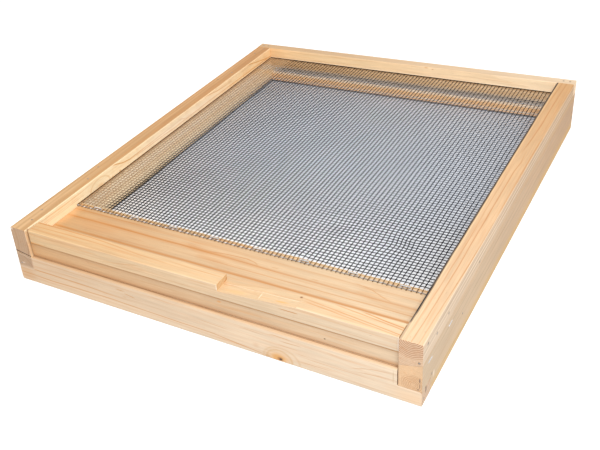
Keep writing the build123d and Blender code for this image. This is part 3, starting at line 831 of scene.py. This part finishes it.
def weave():
    draw = random.Random(cloth["seed"])
    warpLow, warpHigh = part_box("screen_warp_wires")
    weftLow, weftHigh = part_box("screen_weft_wires")
    level = (warpLow.z + weftHigh.z) / 2
    radius = cloth["radius"]
    warpXs = evenPlaces(warpLow.x + radius, warpHigh.x - radius)
    weftYs = evenPlaces(weftLow.y + radius, weftHigh.y - radius)

    def knot(x, y, rise):           # nothing is pushed aside where the cloth's edge is held
        inset = min(x - weftLow.x, weftHigh.x - x, warpHigh.y - y, y - warpLow.y)
        free = max(0.0, min(1.0, inset / cloth["heldEdge"]))
        return Vector((x, y, level + rise)) + clothPush(x, y) * free

    def lean():
        return draw.uniform(-1, 1) * cloth["sway"]

    def sway(aside):
        return aside * draw.uniform(*cloth["swayShare"])

    warps = []
    rise = cloth["warpCrimp"]
    for i, x in enumerate(warpXs):
        aside = lean()
        cut = draw.uniform(0, cloth["endTrim"])
        run = [Vector((x + aside, warpLow.y + cut, level))]
        run += [knot(x + sway(aside), y, rise if (i + j) % 2 else -rise) for j, y in enumerate(weftYs)]
        run.append(Vector((x, warpHigh.y, level)))
        warps.append(run)
    wefts = []
    rise = cloth["weftCrimp"]
    for j, y in enumerate(weftYs):
        aside = lean()
        run = [Vector((weftLow.x, y, level))]
        run += [knot(x, y + sway(aside), -rise if (i + j) % 2 else rise) for i, x in enumerate(warpXs)]
        run.append(Vector((weftHigh.x, y, level)))
        wefts.append(run)
    layWires("woven_warp_wires", warps, cloth["warpRadius"], metalFinish["warp_zinc_painted_shade_and_reflection"], "screen_warp_wires")
    layWires("woven_weft_wires", wefts, cloth["weftRadius"], metalFinish["weft_zinc_painted_light_and_reflection"], "screen_weft_wires")
    print("wire cloth:", len(warps), "by", len(wefts), "wires")


weave()


# A flat face drawn out along a vector, with its faces turned outwards
def drawOut(shape, faces, way):
    grown = bmesh.ops.extrude_face_region(shape, geom=faces, use_keep_orig=True)
    moved = [part for part in grown["geom"] if isinstance(part, bmesh.types.BMVert)]
    bmesh.ops.translate(shape, verts=moved, vec=way)
    bmesh.ops.recalc_face_normals(shape, faces=shape.faces)


def toMesh(name, shape):
    mesh = bpy.data.meshes.new(name)
    shape.to_mesh(mesh)
    shape.free()
    return mesh


# Slot lining: a galvanised strip on the low back bar, turned up along its rear edge; it blocks the view through the
# slot and stands in for the shade seen there, and is painted near white against its own shade under the rail
lining = {
    "thickness": 0.6 * mm, "frontInset": 1.6 * mm, "backInset": 0.4 * mm, "endInset": 0.8 * mm,
    "lip": 2.5 * mm, "edge": 0.12 * mm,
}


def makeLining():
    low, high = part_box("lower_back_rail")
    front, back = low.y + lining["frontInset"], high.y - lining["backInset"]
    left, right = low.x + lining["endInset"], high.x - lining["endInset"]
    base, thickness = high.z, lining["thickness"]
    shape = bmesh.new()
    section = (
        (front, base), (back, base), (back, base + lining["lip"]), (back - thickness, base + lining["lip"]),
        (back - thickness, base + thickness), (front, base + thickness),
    )
    end = shape.faces.new([shape.verts.new((left, y, z)) for y, z in section])
    drawOut(shape, [end], (right - left, 0, 0))
    bmesh.ops.bevel(
        shape, geom=list(shape.edges), offset=lining["edge"], affect="EDGES", segments=1, profile=0.5, material=-1,
    )
    mesh = toMesh("slot_shade_lining", shape)
    newPiece("slot_shade_lining", mesh, "frame", metalFinish["slot_shade_strip_zinc"])
    print("slot lining laid")


makeLining()


# Slide-in tray: a twin-wall sheet of white plastic, with flutes that run front to back
tray = {
    "flutes": 88, "skin": 0.45 * mm, "rib": 0.40 * mm,
    "colour": "FFFFFF", "cloud": "F6F9FF", "cloudSize": 90, "cloudNoise": (3.0, 0.5), "cloudEdge": (0.3, 0.7),
    "cloudShare": 0.6, "scuffSize": (3, 40), "scuffNoise": (3.0, 0.65), "scuffEdge": (0.56, 0.74),
    "scuffShare": 0.3, "scuffRough": 0.2, "scuffHeight": 0.4,
    "speck": "A79B8C", "speckSize": 1.6, "speckNoise": (1.0, 0.5), "speckEdge": (0.76, 0.80), "speckShare": 0.35,
    # Painted shade towards the back and the sides: colour, places where they start and are full, strength
    "backShade": ("DCE1EA", (-170, 60), 0.75), "sideStart": (-170, -60),
    "sideShades": (("C8CAD2", (0, -187), 0.45), ("C4CAD4", (40, 170), 0.30)),
    "rough": 0.38, "bump": 0.2, "bumpDepth": 0.3 * mm,
}


def makeTrayPlastic():
    material, flow, shader = newMaterial("white_fluted_plastic")
    place = millimetres(flow)
    x, y, z = place.split()
    scuffAcross, scuffAlong = tray["scuffSize"]
    scuffPlace = flow.join(x / scuffAcross, y / scuffAlong, z)
    cloud = flow.noise(place.scaled(1 / tray["cloudSize"]), *tray["cloudNoise"])
    scuffs = flow.noise(scuffPlace, *tray["scuffNoise"]).ramp(*tray["scuffEdge"])
    specks = flow.noise(place.scaled(1 / tray["speckSize"]), *tray["speckNoise"]).ramp(*tray["speckEdge"])
    mottle = cloud.ramp(*tray["cloudEdge"]) * tray["cloudShare"] + scuffs * tray["scuffShare"]
    colour = flow.blend(mottle, linear(tray["colour"]), linear(tray["cloud"]))
    code, span, strength = tray["backShade"]
    colour = flow.blend(y.ramp(*span) * strength, colour, linear(code))
    for code, span, strength in tray["sideShades"]:
        colour = flow.blend(x.ramp(*span) * y.ramp(*tray["sideStart"]) * strength, colour, linear(code))
    colour = flow.blend(specks * tray["speckShare"], colour, linear(tray["speck"]))
    feed(flow, shader, {
        "Base Color": colour,
        "Roughness": tray["rough"] + scuffs * tray["scuffRough"],
        "Normal": bumped(flow, cloud + scuffs * tray["scuffHeight"], tray["bump"], tray["bumpDepth"]),
    })
    return material


def makeTray():
    low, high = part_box("slide_in_tray")
    width, length, height = high - low
    shape = bmesh.new()
    # The section is a grid of cells whose middle row is open between the ribs
    columns, rows = 2 * tray["flutes"] + 1, 3
    bmesh.ops.create_grid(shape, x_segments=columns, y_segments=rows, size=0.5)
    step = (width - tray["rib"]) / tray["flutes"]
    across = [0.0]
    for number in range(tray["flutes"]):
        across += [number * step + tray["rib"], (number + 1) * step]
    across.append(width)
    heights = [0.0, tray["skin"], height - tray["skin"], height]
    for vert in shape.verts:
        column = round((vert.co.x + 0.5) * columns)
        row = round((vert.co.y + 0.5) * rows)
        vert.co = (low.x + across[column], low.y, low.z + heights[row])
    inside = low.z + height / 2
    hollow = []
    for face in shape.faces:
        middle = face.calc_center_median()
        isRib = (middle.x - low.x) % step < tray["rib"] or high.x - middle.x <= tray["rib"]
        if abs(middle.z - inside) < height / 4 and not isRib:
            hollow.append(face)
    bmesh.ops.delete(shape, geom=hollow, context="FACES")
    drawOut(shape, list(shape.faces), (0, length, 0))
    mesh = toMesh("fluted_tray", shape)
    newPiece("fluted_tray", mesh, "tray", makeTrayPlastic(), ["slide_in_tray"])
    print("tray:", tray["flutes"], "flutes")


makeTray()


# Nails: a low head on a pointed shank, with a ring of crushed wood round it that is also painted shade of the dimple
# round the head
nail = {
    "head": 0.85 * mm, "headTop": 0.82, "proud": 0.10 * mm, "sides": 14, "shank": 0.7 * mm, "point": 0.3,
    "ring": 1.25 * mm, "ringTop": 0.9, "ringProud": 0.03 * mm,
    # A node's points belong to one head when they are level with its top and this near to each other
    "level": 0.02 * mm, "apart": 2.7 * mm, "same": 0.01 * mm,
    "length": {
        "left_rail_brads": 44 * mm, "upper_back_brads": 20 * mm,
        "landing_brads": 38 * mm, "lower_back_brads": 30 * mm,
    },
}
# Nails that only show as heads: in the right rails' outer face (y, z) and in end grain (x, z), in millimetres
shownNails = {
    "rightFace": (
        (-114.0, 45.6), (-156.7, 21.0), (-194.6, 49.2), (-221.8, 49.8), (-242.0, 55.4), (-231.0, 16.8), (-248.0, 5.3),
    ),
    "endGrain": ((203.7, 43.1), (-202.9, 20.2)),
    "faceLength": 15 * mm, "endLength": 30 * mm,
}
crushedWoodAndShade = {"dark": "7A5A40", "light": "B48C66", "fuzz": 0.6, "rough": 0.8}


# Where the heads of a node's nails are: the middles of its outermost points, taken head by head
def nailPlaces(node, direction):
    verts = [v.co.copy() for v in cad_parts[node].data.vertices]
    top = max(v.dot(direction) for v in verts)
    groups = []
    for v in verts:
        if top - v.dot(direction) > nail["level"]:
            continue
        near = [g for g in groups if (g[0] - v).length < nail["apart"]]
        if not near:
            groups.append([v])
        elif all((v - known).length > nail["same"] for known in near[0]):
            near[0].append(v)
    return [sum(g, Vector()) / len(g) for g in groups]


def addNails(shape, rings, places, direction, length):
    turn = direction.to_track_quat("Z", "Y").to_matrix().to_4x4()
    for place in places:
        at = Matrix.Translation(place) @ turn
        cones = (
            # mesh, sides, low radius, high radius, depth, middle above the face
            (shape, nail["sides"], nail["head"], nail["head"] * nail["headTop"], nail["proud"], nail["proud"] / 2),
            (shape, nail["sides"] // 2, nail["shank"] * nail["point"], nail["shank"], length, -length / 2),
            (rings, nail["sides"], nail["ring"], nail["ring"] * nail["ringTop"], nail["ringProud"] * 2, 0),
        )
        for mesh, sides, low, high, depth, middle in cones:
            bmesh.ops.create_cone(
                mesh, cap_ends=True, segments=sides, radius1=low, radius2=high, depth=depth,
                matrix=at @ Matrix.Translation((0, 0, middle)),
            )


def finishNails(name, shape, material, stoodFor=()):
    bmesh.ops.recalc_face_normals(shape, faces=shape.faces)
    newPiece(name, toMesh(name, shape), "frame", material, stoodFor)


def makeCrushedWoodAndShade():
    material, flow, shader = newMaterial("crushed_wood_and_shade")
    fuzz = flow.noise(millimetres(flow).scaled(1 / crushedWoodAndShade["fuzz"]), 2.0)
    feed(flow, shader, {
        "Base Color": flow.blend(fuzz, linear(crushedWoodAndShade["dark"]), linear(crushedWoodAndShade["light"])),
        "Roughness": crushedWoodAndShade["rough"],
    })
    return material


def driveNails():
    crushed, steel = makeCrushedWoodAndShade(), metalFinish["bright_steel"]
    up, left, right, front = Vector((0, 0, 1)), Vector((-1, 0, 0)), Vector((1, 0, 0)), Vector((0, -1, 0))
    jobs = {
        "left_rail_nails": [("left_rail_brads", up)],
        "top_back_nails": [("upper_back_brads", up)],
        "landing_nails": [("landing_brads", up)],
        "low_bar_nails": [("lower_back_brads", left), ("lower_back_brads", right)],
    }
    rings = bmesh.new()
    for name, groups in jobs.items():
        shape = bmesh.new()
        for node, direction in groups:
            addNails(shape, rings, nailPlaces(node, direction), direction, nail["length"][node])
        finishNails(name, shape, steel, [node for node, direction in groups])
    shape = bmesh.new()
    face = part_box("right_upper_rail")[1].x
    places = [Vector((face, y * mm, z * mm)) for y, z in shownNails["rightFace"]]
    addNails(shape, rings, places, right, shownNails["faceLength"])
    places = [Vector((x * mm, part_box("left_lower_rail")[0].y, z * mm)) for x, z in shownNails["endGrain"]]
    addNails(shape, rings, places, front, shownNails["endLength"])
    finishNails("face_nails", shape, steel)
    finishNails("nail_rings", rings, crushed)


driveNails()
stapleSoftness = 0.15 * mm
for name in ("right_rail_brads", "front_corner_brads"):
    dress(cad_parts[name], metalFinish["bright_steel"])
for name in ("landing_staples", "screen_staples"):
    dress(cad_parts[name], metalFinish["pale_crown_zinc"])
    soften(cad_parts[name], stapleSoftness)
print("nails and staples driven")


# Floor, light and camera
stage = {
    "floorSize": 60.0, "floorDrop": 0.3 * mm, "floorColour": (0.94, 0.94, 0.94, 1.0), "floorRough": 0.9,
    "floorSpecular": 0.1, "worldColour": (1.0, 1.0, 1.0, 1.0), "worldLight": 0.90,
}
lamp = {"name": "key", "at": (0.62, -0.85, 1.45), "aim": (0.02, -0.05, 0.03), "size": 0.90, "power": 30}
view = {
    "azimuth": 34.7776, "elevation": 31.2321, "distance": 0.9179412, "aim": (-0.088309, -0.0624487, 0.0),
    "roll": -6.6473, "focalPixels": 839.2562, "centrePixel": (222.0, 208.7046), "pixels": (600, 450), "sensor": 36.0,
    "clipStart": 0.05,
}


def makeFloor():
    shape = bmesh.new()
    bmesh.ops.create_grid(shape, x_segments=1, y_segments=1, size=stage["floorSize"] / 2)
    bmesh.ops.translate(shape, verts=shape.verts, vec=(0, 0, -stage["floorDrop"]))
    mesh = toMesh("floor", shape)
    floor = bpy.data.objects.new("floor", mesh)
    bpy.context.scene.collection.objects.link(floor)
    material, flow, shader = newMaterial("pale_floor")
    feed(flow, shader, {
        "Base Color": stage["floorColour"],
        "Roughness": stage["floorRough"],
        "Specular IOR Level": stage["floorSpecular"],
    })
    mesh.materials.append(material)
    floor.visible_diffuse = False       # the floor shows white without lighting the boards from below


def makeLight():
    world = bpy.data.worlds.new("studio")
    world.use_nodes = True
    background = world.node_tree.nodes["Background"]
    background.inputs["Color"].default_value = stage["worldColour"]
    background.inputs["Strength"].default_value = stage["worldLight"]
    bpy.context.scene.world = world
    light = bpy.data.lights.new(lamp["name"], "AREA")
    light.shape = "DISK"
    light.size = lamp["size"]
    light.energy = lamp["power"]
    holder = bpy.data.objects.new(lamp["name"], light)
    holder.location = lamp["at"]
    holder.rotation_euler = (Vector(lamp["aim"]) - Vector(lamp["at"])).to_track_quat("-Z", "Y").to_euler()
    bpy.context.scene.collection.objects.link(holder)
    bpy.context.scene.view_settings.view_transform = "Standard"


def makeCamera():
    azimuth, elevation = math.radians(view["azimuth"]), math.radians(view["elevation"])
    back = Vector((
        math.sin(azimuth) * math.cos(elevation),
        -math.cos(azimuth) * math.cos(elevation),
        math.sin(elevation),
    ))
    wide, tall = view["pixels"]
    lens = bpy.data.cameras.new("camera")
    lens.sensor_width = view["sensor"]
    lens.lens = view["focalPixels"] * view["sensor"] / wide
    lens.shift_x = (wide / 2 - view["centrePixel"][0]) / wide
    lens.shift_y = (view["centrePixel"][1] - tall / 2) / wide
    lens.clip_start = view["clipStart"]
    camera = bpy.data.objects.new("camera", lens)
    camera.location = Vector(view["aim"]) + back * view["distance"]
    turn = (-back).to_track_quat("-Z", "Y") @ Quaternion((0, 0, 1), math.radians(view["roll"]))
    camera.rotation_euler = turn.to_euler()
    bpy.context.scene.collection.objects.link(camera)
    bpy.context.scene.camera = camera


makeFloor()
makeLight()
makeCamera()
print("stage, light and camera ready")
